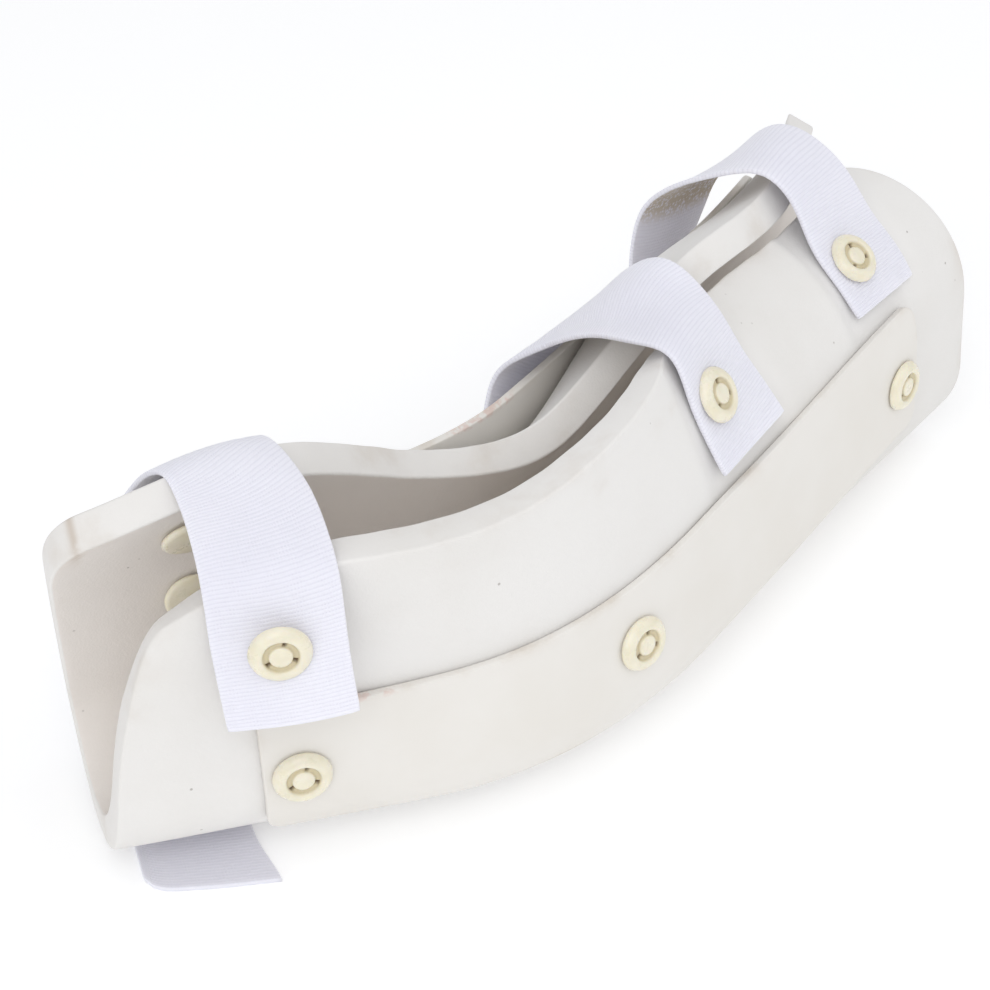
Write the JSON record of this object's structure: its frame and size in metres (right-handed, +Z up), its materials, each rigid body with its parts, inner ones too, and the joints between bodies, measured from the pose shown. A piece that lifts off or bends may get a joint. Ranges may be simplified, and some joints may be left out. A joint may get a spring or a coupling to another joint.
{
  "type": "hand immobilizer",
  "caption": "Wrist and forearm splint: a foam gutter bent at the wrist, open along the top, with riveted side bars and hook-and-loop straps that hold the hand and forearm still.",
  "frame": {"origin": "middle of the bounding box in plan, on the surface that the splint lies on", "axes": "+X from the hand end towards the forearm end, +Z up through the open side of the gutter, -Y towards the outside of the bend"},
  "size_m": [0.2972, 0.11, 0.1109],
  "materials": {
    "foam": "matte closed-cell foam, cream, slightly stained along its cut edges",
    "bar": "satin ivory plastic",
    "strap": "fine ribbed hook-and-loop tape, cool white",
    "rivet": "glossy translucent ivory plastic"
  },
  "bodies": {
    "root": {"shell": "foam", "bar_outer": "bar", "bar_inner": "bar", "strap_hand": "strap", "strap_wrist": "strap", "strap_forearm": "strap", "rivet_bar_hand": "rivet", "rivet_bar_wrist": "rivet", "rivet_bar_forearm": "rivet", "rivet_far_hand": "rivet", "rivet_far_wrist": "rivet", "rivet_far_forearm": "rivet", "rivet_far_tab": "rivet", "rivet_strap_hand": "rivet", "rivet_strap_wrist": "rivet", "rivet_strap_forearm": "rivet"}
  },
  "joints": []
}
